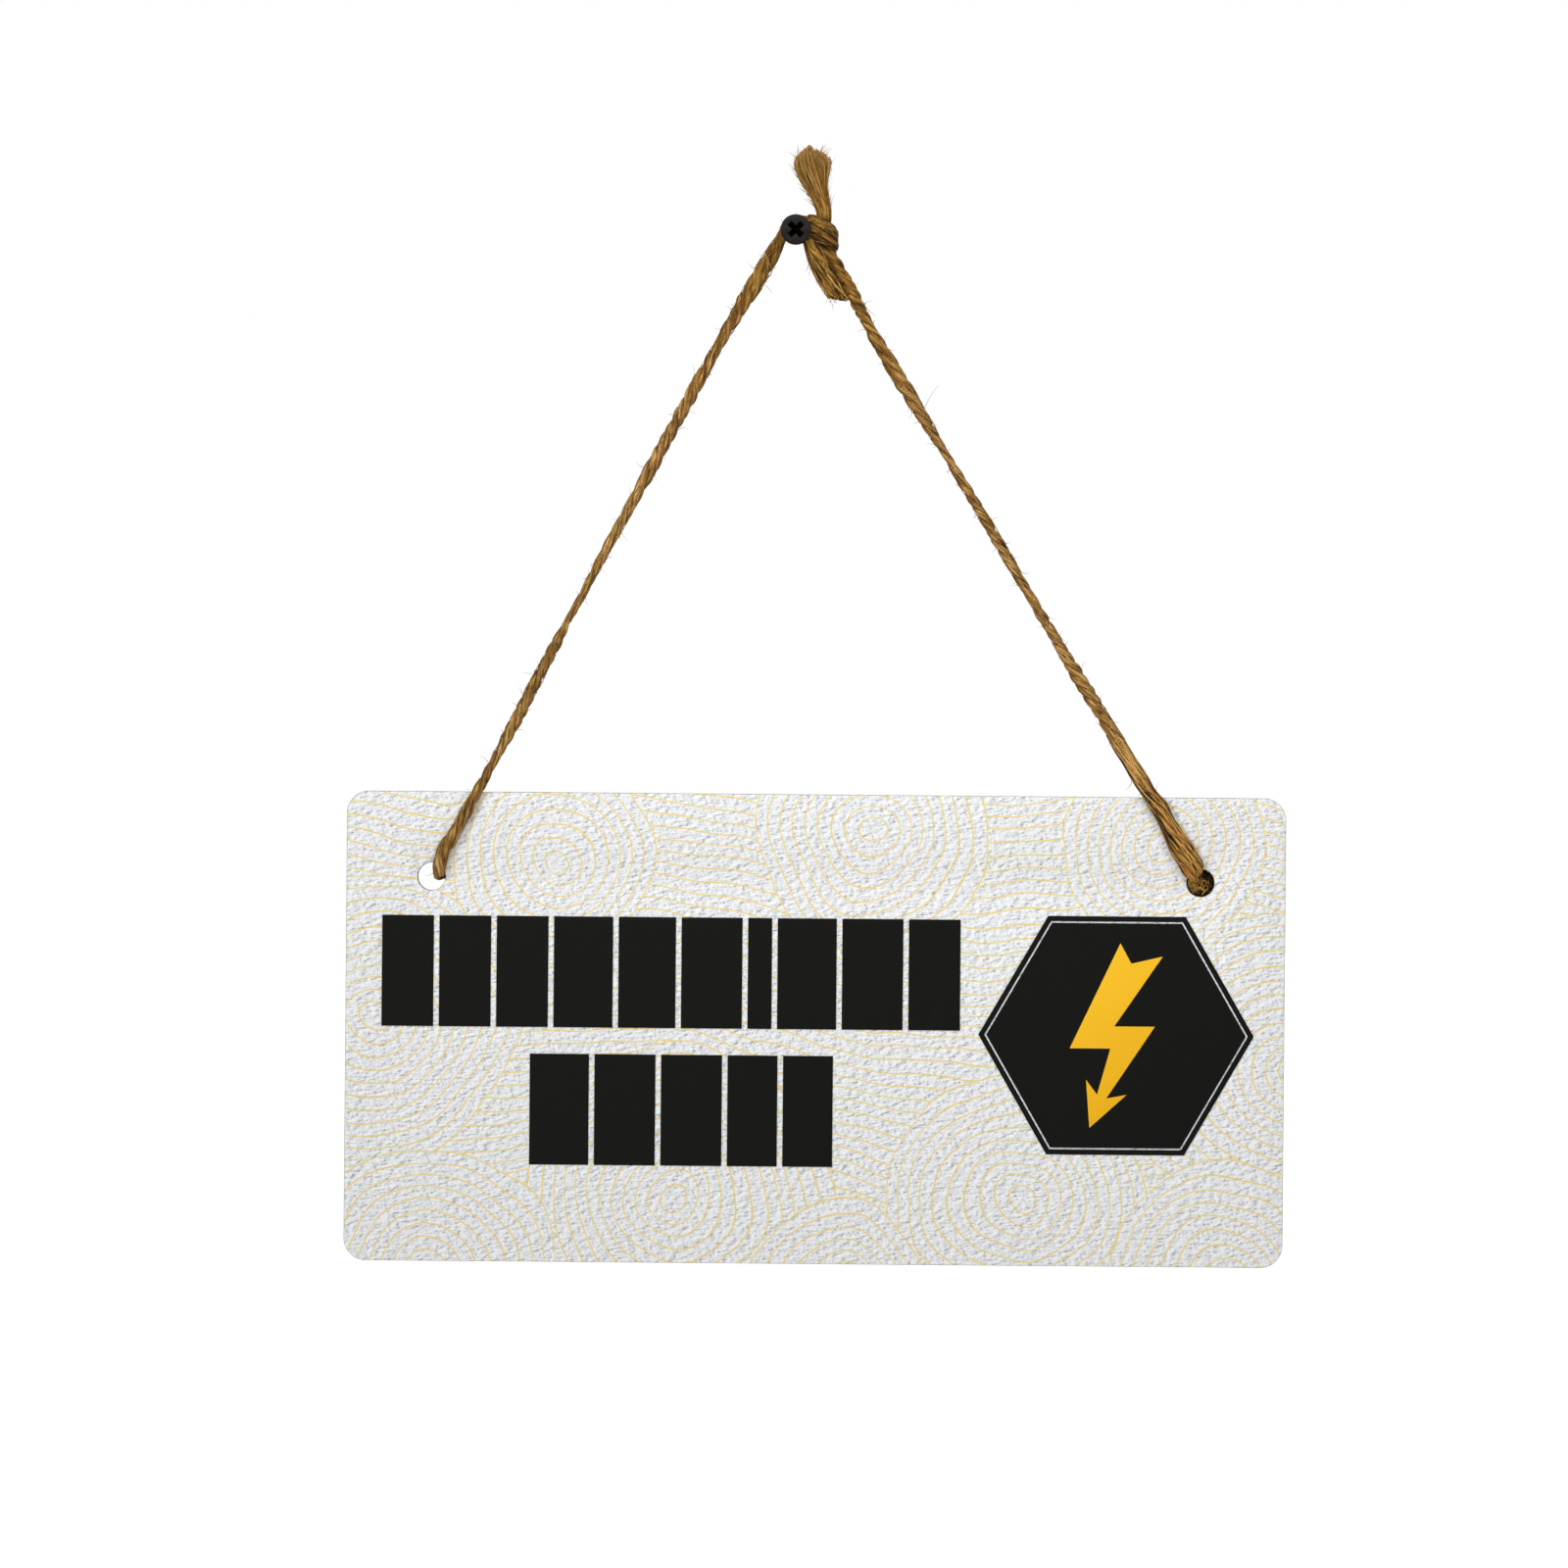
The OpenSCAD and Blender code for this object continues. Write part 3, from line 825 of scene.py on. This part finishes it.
print(f"screw: {len(screw.data.polygons)} faces, {[round(v / MM, 2) for v in screw.dimensions]} mm")

# %% [markdown]
# ## Materials
#
# Every finish is made of nodes. Colours are written as the sRGB hex values that one reads off a
# swatch, and one function turns them to the linear values that the renderer needs. One function
# adds a node, whatever its kind, and each material gets it bound to its own nodes.

# %% Material helpers
def linear(code):
    """sRGB hex to linear colour."""
    parts = [int(code[i:i + 2], 16) / 255 for i in (1, 3, 5)]
    return tuple(c / 12.92 if c <= 0.04045 else ((c + 0.055) / 1.055) ** 2.4 for c in parts) + (1.0,)


def plug(node, inputs):
    """Fills inputs of a node, each with a value, or with a node or socket that it links."""
    for label, value in inputs.items():
        if isinstance(value, bpy.types.Node):
            value = next(s for s in value.outputs if s.enabled)
        if isinstance(value, bpy.types.NodeSocket):
            node.id_data.links.new(value, node.inputs[label])
        else:
            node.inputs[label].default_value = value


def add_node(tree, kind, inputs=(), stops=(), **settings):
    """One node with its settings and links. The kind can name an operation; stops are (place, hex)."""
    kind, *operation = kind.split()
    made = tree.nodes.new("ShaderNode" + kind)
    if operation:
        made.operation = operation[0]
    for name, value in settings.items():
        setattr(made, name, value)
    plug(made, inputs if isinstance(inputs, dict) else dict(enumerate(inputs)))
    if stops:
        elements = made.color_ramp.elements
        while len(elements) < len(stops):
            elements.new(0.5)
        for element, (place, code) in zip(elements, stops):
            element.position, element.color = place, linear(code)
    return made


def start_material(name):
    """A new material, its shader, its Object coordinates in mm, and the function that adds to it."""
    material = bpy.data.materials.new(name)
    material.use_nodes = True
    material.node_tree.nodes.clear()
    add = partial(add_node, material.node_tree)
    shader = add("BsdfPrincipled")
    add("OutputMaterial", {"Surface": shader})
    place = add("TexCoord").outputs["Object"]
    in_mm = add("VectorMath SCALE", {0: place, "Scale": 1 / MM})
    return material, shader, in_mm, add


def surface(shader, colour, relief, bump, gloss, rough, specular=0.5):
    """A finish: colour, relief with its bump's strength and depth in mm, gloss with its roughness."""
    add = partial(add_node, shader.id_data)
    plug(shader, {
        "Base Color": colour, "Specular IOR Level": specular,
        "Normal": add("Bump", {"Height": relief, "Strength": bump[0], "Distance": bump[1] * MM}),
        "Roughness": add("MapRange", {"Value": gloss, "To Min": rough[0], "To Max": rough[1]}),
    })


def dress(piece, *finishes):
    """Gives a piece its finishes, one to a slot."""
    piece.data.materials.clear()
    for finish in finishes:
        piece.data.materials.append(finish)


# %% [markdown]
# ### Jute, spun and plied
#
# Raw jute is a dry golden brown plant fibre. Single fibres are 0.05 mm wide, far too fine to show,
# so the streaks along them are drawn 0.5 mm wide and 8 mm long. The hollows between the plies are
# painted darker, as painted shade, and the darkest fibres are near black, painted shade for the gaps
# between fibres. Loose fibres and the tips of the open ends are painted paler, a painted highlight
# where light passes through them. Handling has dulled the jute round the knot, which fades out 50 mm
# away from it, and the strand above the right hole is cleaner and more golden.

# %% Jute
jute, shader, in_mm, add = start_material("spun_jute")
fibre_place = add("Attribute", attribute_name="fibre").outputs["Vector"]
shade_of = add("Attribute", attribute_name="shade").outputs["Fac"]
lift_of = add("Attribute", attribute_name="lift").outputs["Fac"]
along = add("Mapping", {"Vector": fibre_place, "Scale": (2.0, 0.12, 1)})
streaks = add("TexNoise", {"Vector": along, "Scale": 1.0, "Detail": 3, "Roughness": 0.6})
patches = add("TexNoise", {"Vector": in_mm, "Scale": 0.3, "Detail": 2})
# X minus Z grows down the right strand, to 283 at its hole
run_right = add("VectorMath DOT_PRODUCT", (in_mm, (1, 0, -1)))
golden = add("MapRange", {"Value": run_right, "From Min": 200, "From Max": 262})
tone = 0.2
# Each part of the tone has a middle value and a share
for part, middle, share in (
    (streaks, 0.5, 1.9), (shade_of, 0.0, 0.54), (patches, 0.5, 0.25), (golden, 0.0, 0.15),
):
    part = add("Math SUBTRACT", (part, middle))
    tone = add("Math MULTIPLY_ADD", (part, share, tone))
# The lowest stops are near black: fibres with tones below 0 show as painted shade for gaps
colour = add("ValToRGB", (tone,), [
    (0.0, "#1E1306"), (0.12, "#49300F"), (0.36, "#7F5A2A"), (0.6, "#A77F42"), (0.95, "#DCB578"),
])
# Darker in the grooves between the plies: painted shade
groove_shade = add("MapRange", {"Value": lift_of, "From Min": 0.6, "From Max": 0.84, "To Min": 0.25})
colour = add("Mix", {0: groove_shade, 6: linear("#452B0C"), 7: colour}, data_type="RGBA")

# %% What dulls, warms and varies the jute
from_knot = add("VectorMath DISTANCE", (in_mm, (5, -6, -6)))
handled = add("MapRange", {"Value": from_knot, "From Min": 12, "From Max": 50})
dulled = add("Mix", {0: handled, 6: linear("#DDD6A8"), 7: linear("#FFFFFF")}, data_type="RGBA")
warmed = add("Mix", {0: golden, 6: dulled, 7: linear("#FFF0C6")}, data_type="RGBA")
hue_place = add("Mapping", {"Vector": fibre_place, "Scale": (1.1, 0.09, 1)})
hues = add("TexNoise", {"Vector": hue_place, "Scale": 1.0, "Detail": 2})
tint = add("ValToRGB", (hues,), [(0.36, "#FFE9DC"), (0.5, "#FFFFFF"), (0.64, "#F4FAE2")])
for filtered in (warmed, tint):
    colour = add("Mix", {0: 1.0, 6: colour, 7: filtered}, data_type="RGBA", blend_type="MULTIPLY")
grain = add("Bump", {"Height": streaks, "Strength": 0.45, "Distance": 0.25 * MM})
plug(shader, {
    "Base Color": colour, "Normal": grain, "Roughness": 0.8, "Specular IOR Level": 0.2,
    "Sheen Weight": 0.12, "Sheen Roughness": 0.4, "Sheen Tint": linear("#E8CFA0"),
})
for piece in jute_pieces:
    dress(piece, jute)

# %% [markdown]
# ### The printed face
#
# The face is white and printed to look like rough plaster: small slanting bumps of about 1 to
# 1.7 mm with soft grey shadows on their lower side. That shading is ink, so it is part of the
# colour: the difference of one noise at two nearby places. Fine gold lines run over it, 3.5 mm
# apart, in rings about several centres and in long waves. Where two ring fields meet, one cuts
# off the other. The layout here is this lesson's own.

# %% Gold lines of the printed face
LINE_GAP = 3.5
LINE_W = 0.38
LINE_SOFT = 0.08
RINGS = [
    # Centre x and z and the radius, in mm; a later field covers an earlier one
    (-30, -262, 42), (62, -262, 35), (134, -226, 42), (22, -163, 31.5), (-112, -214, 38.5),
    (-64, -170, 28), (100, -166, 28), (-98, -284, 35), (118, -283, 31.5), (14, -286, 24.5),
]
face, shader, in_mm, add = start_material("printed_plaster_face")
warp = add("TexNoise", {"Vector": in_mm, "Scale": 0.035, "Detail": 1}).outputs["Color"]
shift = add("VectorMath SUBTRACT", (warp, (0.5, 0.5, 0.5)))
warped = add("VectorMath MULTIPLY_ADD", (shift, (9, 0, 9), in_mm))
x_of, _, z_of = add("SeparateXYZ", (warped,)).outputs
wave = add("Math MULTIPLY", (x_of, 0.045))
wave = add("Math SINE", (wave,))
field = add("Math MULTIPLY_ADD", (x_of, 0.1, z_of))
field = add("Math MULTIPLY_ADD", (wave, 4.5, field))
field = add("Math DIVIDE", (field, LINE_GAP))
flat = add("VectorMath MULTIPLY", (warped, (1, 0, 1)))
for x, z, radius in RINGS:
    away = add("VectorMath DISTANCE", (flat, (x, 0, z)))
    inside = add("Math LESS_THAN", (away, radius + LINE_W / 2))
    rings = add("Math DIVIDE", (away, LINE_GAP))
    field = add("Mix", {0: inside, 2: field, 3: rings}, data_type="FLOAT")
off_line = add("Math PINGPONG", (field, 0.5))
off_line = add("Math MULTIPLY", (off_line, LINE_GAP))
on_line = add("MapRange", {
    "Value": off_line, "From Min": LINE_W / 2 - LINE_SOFT, "From Max": LINE_W / 2 + LINE_SOFT,
    "To Min": 1.0, "To Max": 0.0,
})

# %% Keep the lines off the hexagon
# The printed hexagon carries no gold lines, so its thin unprinted line stays white
HEXAGON_AT, HEXAGON_REACH = (88.5, 0, -217), 31.5
from_hexagon = add("VectorMath SUBTRACT", (in_mm, HEXAGON_AT))
from_hexagon = add("VectorMath ABSOLUTE", (from_hexagon,))
sideways, _, upwards = add("SeparateXYZ", (from_hexagon,)).outputs
sloping = add("Math MULTIPLY", (upwards, 0.5))
sloping = add("Math MULTIPLY_ADD", (sideways, 0.866, sloping))
furthest = add("Math MAXIMUM", (sloping, upwards))
outside = add("Math GREATER_THAN", (furthest, HEXAGON_REACH))
gold = add("Math MULTIPLY", (on_line, outside))
gold = add("Math MULTIPLY", (gold, 0.85))

# %% Printed plaster
SUN = (-0.24, 0, 0.36)
slant = add("Mapping", {
    "Vector": in_mm, "Rotation": (0, math.radians(15), 0), "Scale": (0.6, 1, 1.15),
})
lit_side = add("VectorMath ADD", (slant, SUN))
bumps_here, bumps_near = [
    add("TexNoise", {"Vector": place, "Scale": 1.0, "Detail": 4.0, "Roughness": 0.58})
    for place in (slant, lit_side)
]
slope = add("Math SUBTRACT", (bumps_here, bumps_near))
shading = add("Math MULTIPLY_ADD", (slope, 2.6, 0.58))
plaster = add("ValToRGB", (shading,), [
    (0.0, "#A2A3A6"), (0.25, "#C9C9CB"), (0.5, "#E4E5E6"), (0.75, "#F1F1F2"), (1.0, "#FAFAFB"),
])
inked = add("Mix", {0: gold, 6: plaster, 7: linear("#ECD463")}, data_type="RGBA")
surface(
    shader, inked, relief=bumps_here, bump=(0.25, 0.2), gloss=bumps_here, rough=(0.55, 0.7), specular=0.3,
)

# %% [markdown]
# ### Scorched edge and bare back
#
# A laser burns its cut, so edges and hole walls are dark brown, streaked across the thickness. The
# back is bare fibreboard: warm brown, with short fibres and flecks a few tenths of a millimetre wide.

# %% Scorched edge
edge, shader, in_mm, add = start_material("laser_scorched_fibreboard")
burn_place = add("Mapping", {"Vector": in_mm, "Scale": (1.4, 0.12, 1.4)})
burn = add("TexNoise", {"Vector": burn_place, "Scale": 1.0, "Detail": 4, "Roughness": 0.6})
soot = add("ValToRGB", (burn,), [(0.25, "#1F150E"), (0.5, "#3A281A"), (0.75, "#5C422B")])
surface(shader, soot, relief=burn, bump=(0.5, 0.15), gloss=burn, rough=(0.75, 0.95))

# %% Bare back
back, shader, in_mm, add = start_material("bare_fibreboard")
felt_place = add("Mapping", {"Vector": in_mm, "Scale": (1.0, 1, 1.5)})
felt = add("TexNoise", {
    "Vector": felt_place, "Scale": 1.6, "Detail": 5, "Roughness": 0.72, "Distortion": 0.8,
})
clouds = add("TexNoise", {"Vector": in_mm, "Scale": 0.03, "Detail": 3})
mixed = add("Math MULTIPLY", (felt, 0.7))
mixed = add("Math MULTIPLY_ADD", (clouds, 0.3, mixed))
brown = add("ValToRGB", (mixed,), [(0.3, "#7C5B3D"), (0.5, "#96724E"), (0.7, "#AD8A63")])
flecks = add("TexVoronoi", {"Vector": felt_place, "Scale": 0.9}).outputs["Distance"]
speck = add("MapRange", {"Value": flecks, "From Min": 0.08, "From Max": 0.2})
flecked = add("Mix", {0: speck, 6: linear("#6A4A2F"), 7: brown}, data_type="RGBA")
surface(shader, flecked, relief=felt, bump=(0.35, 0.15), gloss=clouds, rough=(0.6, 0.85))

# %% Give each side of the board its finish
dress(board, face, edge, back)
for polygon in board.data.polygons:
    toward = -polygon.normal.y
    polygon.material_index = 0 if toward > 0.9 else 2 if toward < -0.9 else 1

# %% [markdown]
# ### Inks and the phosphated steel
#
# The black and the orange are flat printing inks with a slight satin. The orange runs
# from a warm yellow at the upper left to a deeper tone at the lower right. The screw is steel
# with a black phosphate coat: crystals far finer than a pixel, so the grain is drawn at 0.1 mm.
# The recess walls get a near-black, dull finish: painted shade for the inside of the recess.

# %% Inks
def ink(name, dark, bright, low, high, rough):
    """A flat printing ink: its tone shifts a little over the sheet, and its grain is fine."""
    material, shader, in_mm, add = start_material(name)
    slope = add("VectorMath DOT_PRODUCT", (in_mm, (0.6, 0, -0.8)))
    over = add("MapRange", {"Value": slope, "From Min": low, "From Max": high})
    grain = add("TexNoise", {"Vector": in_mm, "Scale": 2.5, "Detail": 3})
    tone = add("Math SUBTRACT", (grain, 0.5))
    tone = add("Math MULTIPLY_ADD", (tone, 0.25, over))
    colour = add("ValToRGB", (tone,), [(0.0, bright), (1.0, dark)])
    satin = (rough - 0.06, rough + 0.06)
    surface(shader, colour, relief=grain, bump=(0.08, 0.05), gloss=grain, rough=satin, specular=0.08)
    return material


black_ink = ink("black_printing_ink", "#121210", "#161614", low=100, high=330, rough=0.7)
orange_ink = ink("orange_printing_ink", "#EBAC17", "#FFC72C", low=205, high=255, rough=0.55)
for name in ("hexagon_print", "upper_blocks", "lower_blocks"):
    dress(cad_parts[name], black_ink)
dress(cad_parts["flash_print"], orange_ink)

# %% Phosphated steel
phosphate, shader, in_mm, add = start_material("phosphated_steel")
crystals = add("TexNoise", {"Vector": in_mm, "Scale": 9.0, "Detail": 3, "Roughness": 0.7})
smears = add("TexNoise", {"Vector": in_mm, "Scale": 0.7, "Detail": 3})
blend = add("Math MULTIPLY", (crystals, 0.5))
blend = add("Math MULTIPLY_ADD", (smears, 0.5, blend))
coat = add("ValToRGB", (blend,), [(0.3, "#0D0A08"), (0.55, "#15110F"), (0.8, "#221C19")])
surface(
    shader, coat, relief=crystals, bump=(0.3, 0.06), gloss=smears, rough=(0.42, 0.62), specular=0.16,
)

# %% Painted shade in the recess
recess_shade, shader, in_mm, add = start_material("painted_recess_shade")
recess_shade_noise = add("TexNoise", {"Vector": in_mm, "Scale": 3.0, "Detail": 3})
# Near black and almost without gloss: painted shade inside the recess
recess_shade_tone = add("ValToRGB", (recess_shade_noise,), [(0.35, "#020201"), (0.7, "#0B0807")])
surface(shader, recess_shade_tone, relief=recess_shade_noise, bump=(0.4, 0.1), gloss=recess_shade_noise, rough=(0.8, 1.0), specular=0.02)
dress(screw, phosphate, recess_shade)
for polygon in screw.data.polygons:
    x, y, z = polygon.center / MM
    in_depth = HEAD_Y + 0.05 < y < HEAD_Y + RECESS_H + 0.1
    polygon.material_index = int(in_depth and math.hypot(x, z) < RECESS_SPAN / 2 + 0.1)

# %% [markdown]
# ## Floor, world and light
#
# A plain pale floor lies well below the sign. The light is a large soft box above and to the left
# of the camera. A small one just above the sign brings out the twine and the knot, one from the
# right and one from behind are weak, and a pale world fills the shadows.

# %% Floor and world
FLOOR_Z = -0.46
clean()
bpy.ops.mesh.primitive_circle_add(vertices=96, radius=14, fill_type="NGON", location=(0, 0, FLOOR_Z))
floor = bpy.context.object
floor.name = "floor"
pale, shader, in_mm, add = start_material("pale_floor")
speckle = add("TexNoise", {"Vector": in_mm, "Scale": 0.01, "Detail": 3})
floor_tone = add("ValToRGB", (speckle,), [(0.3, "#F3F3F2"), (0.7, "#F8F8F7")])
seen_by_camera = add("LightPath").outputs["Is Camera Ray"]
glow = add("Math MULTIPLY", (seen_by_camera, 0.88))
plug(shader, {
    "Base Color": floor_tone, "Roughness": 0.9, "Emission Color": (1, 1, 1, 1), "Emission Strength": glow,
})
dress(floor, pale)

world = bpy.data.worlds.new("pale_world")
bpy.context.scene.world = world
world.use_nodes = True
world.node_tree.nodes.clear()
add = partial(add_node, world.node_tree)
seen = add("Background", {"Color": (1, 1, 1, 1), "Strength": 1.0})
fill = add("Background", {"Color": (0.97, 0.985, 1, 1), "Strength": 0.18})
camera_ray = add("LightPath").outputs["Is Camera Ray"]
both = add("MixShader", (camera_ray, fill, seen))
add("OutputWorld", {"Surface": both})


# %% Lights
SIGN_MIDDLE = (0.0, 0.0, -0.17)


def soft_box(name, at, size, power):
    """A square area light that faces the middle of the sign."""
    light = bpy.data.lights.new(name, "AREA")
    light.size, light.energy = size, power
    made = bpy.data.objects.new(name, light)
    bpy.context.scene.collection.objects.link(made)
    made.location = at
    made.rotation_euler = (Vector(SIGN_MIDDLE) - Vector(at)).to_track_quat("-Z", "Y").to_euler()


soft_box("key_light", (-2.6, -3.6, 1.2), size=1.0, power=80)
soft_box("top_light", (0.05, -0.36, 0.2), size=0.25, power=1.4)
soft_box("right_light", (1.2, -1.3, 0.1), size=0.9, power=2.0)
soft_box("back_light", (0.9, 1.5, 0.9), size=0.9, power=12)

scene_view = bpy.context.scene.view_settings
scene_view.view_transform = "Standard"
scene_view.look = "None"
